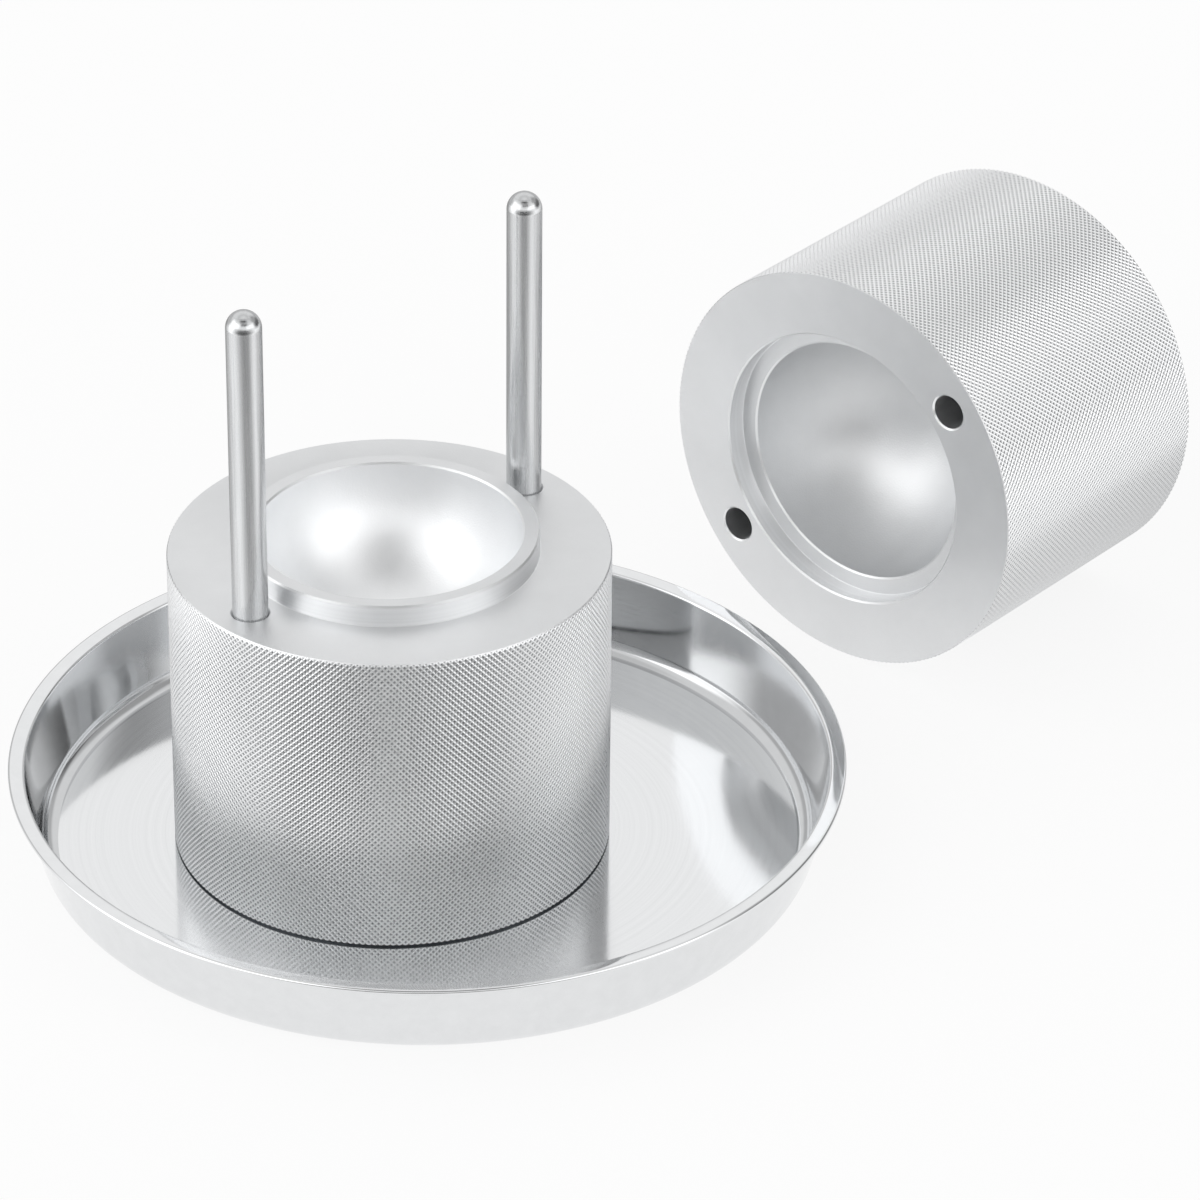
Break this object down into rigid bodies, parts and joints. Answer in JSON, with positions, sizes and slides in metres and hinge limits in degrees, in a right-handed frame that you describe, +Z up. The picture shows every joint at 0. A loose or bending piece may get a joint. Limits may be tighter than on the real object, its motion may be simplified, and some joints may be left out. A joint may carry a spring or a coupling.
{
  "type": "ice ball press",
  "caption": "Gravity press for clear ice balls: heavy knurled metal moulds with half-ball cavities, guide pins and a drip tray, the upper mould lying beside it.",
  "frame": {"origin": "middle of the drip tray's flat underside, on the table", "axes": "+Z up along the tray's and the standing lower mould's axes, +Y away from the viewer, +X to the viewer's right"},
  "size_m": [0.2776, 0.2615, 0.1502],
  "materials": {
    "mould_aluminium": "satin blasted faces and cavities, fine diamond knurl round the sides",
    "pin_steel": "drawn stainless steel with a lengthwise grain and polished domed tips",
    "tray_steel": "mirror-polished stainless steel, floor lightly spun"
  },
  "bodies": {
    "tray": {"drip_tray": "tray_steel"},
    "lower": {"lower_mould": "mould_aluminium"},
    "left_pin": {"guide_pin_left": "pin_steel"},
    "right_pin": {"guide_pin_right": "pin_steel"},
    "upper": {"upper_mould": "mould_aluminium"}
  },
  "joints": [
    {"name": "lower_lift", "type": "slide", "parent": "tray", "child": "lower", "axis": [0, 0, 1], "range_m": [0, 0.118]},
    {"name": "left_pin_pull", "type": "slide", "parent": "lower", "child": "left_pin", "axis": [0, 0, 1], "range_m": [0, 0.025]},
    {"name": "right_pin_pull", "type": "slide", "parent": "lower", "child": "right_pin", "axis": [0, 0, 1], "range_m": [0, 0.025]},
    {"name": "upper_carry", "type": "hinge", "parent": "tray", "child": "upper", "pos_m": [0.06029, 0.01032, 0.11691], "axis": [0.6983, 0.2688, 0.6634], "range_deg": [0, 141.82]}
  ]
}
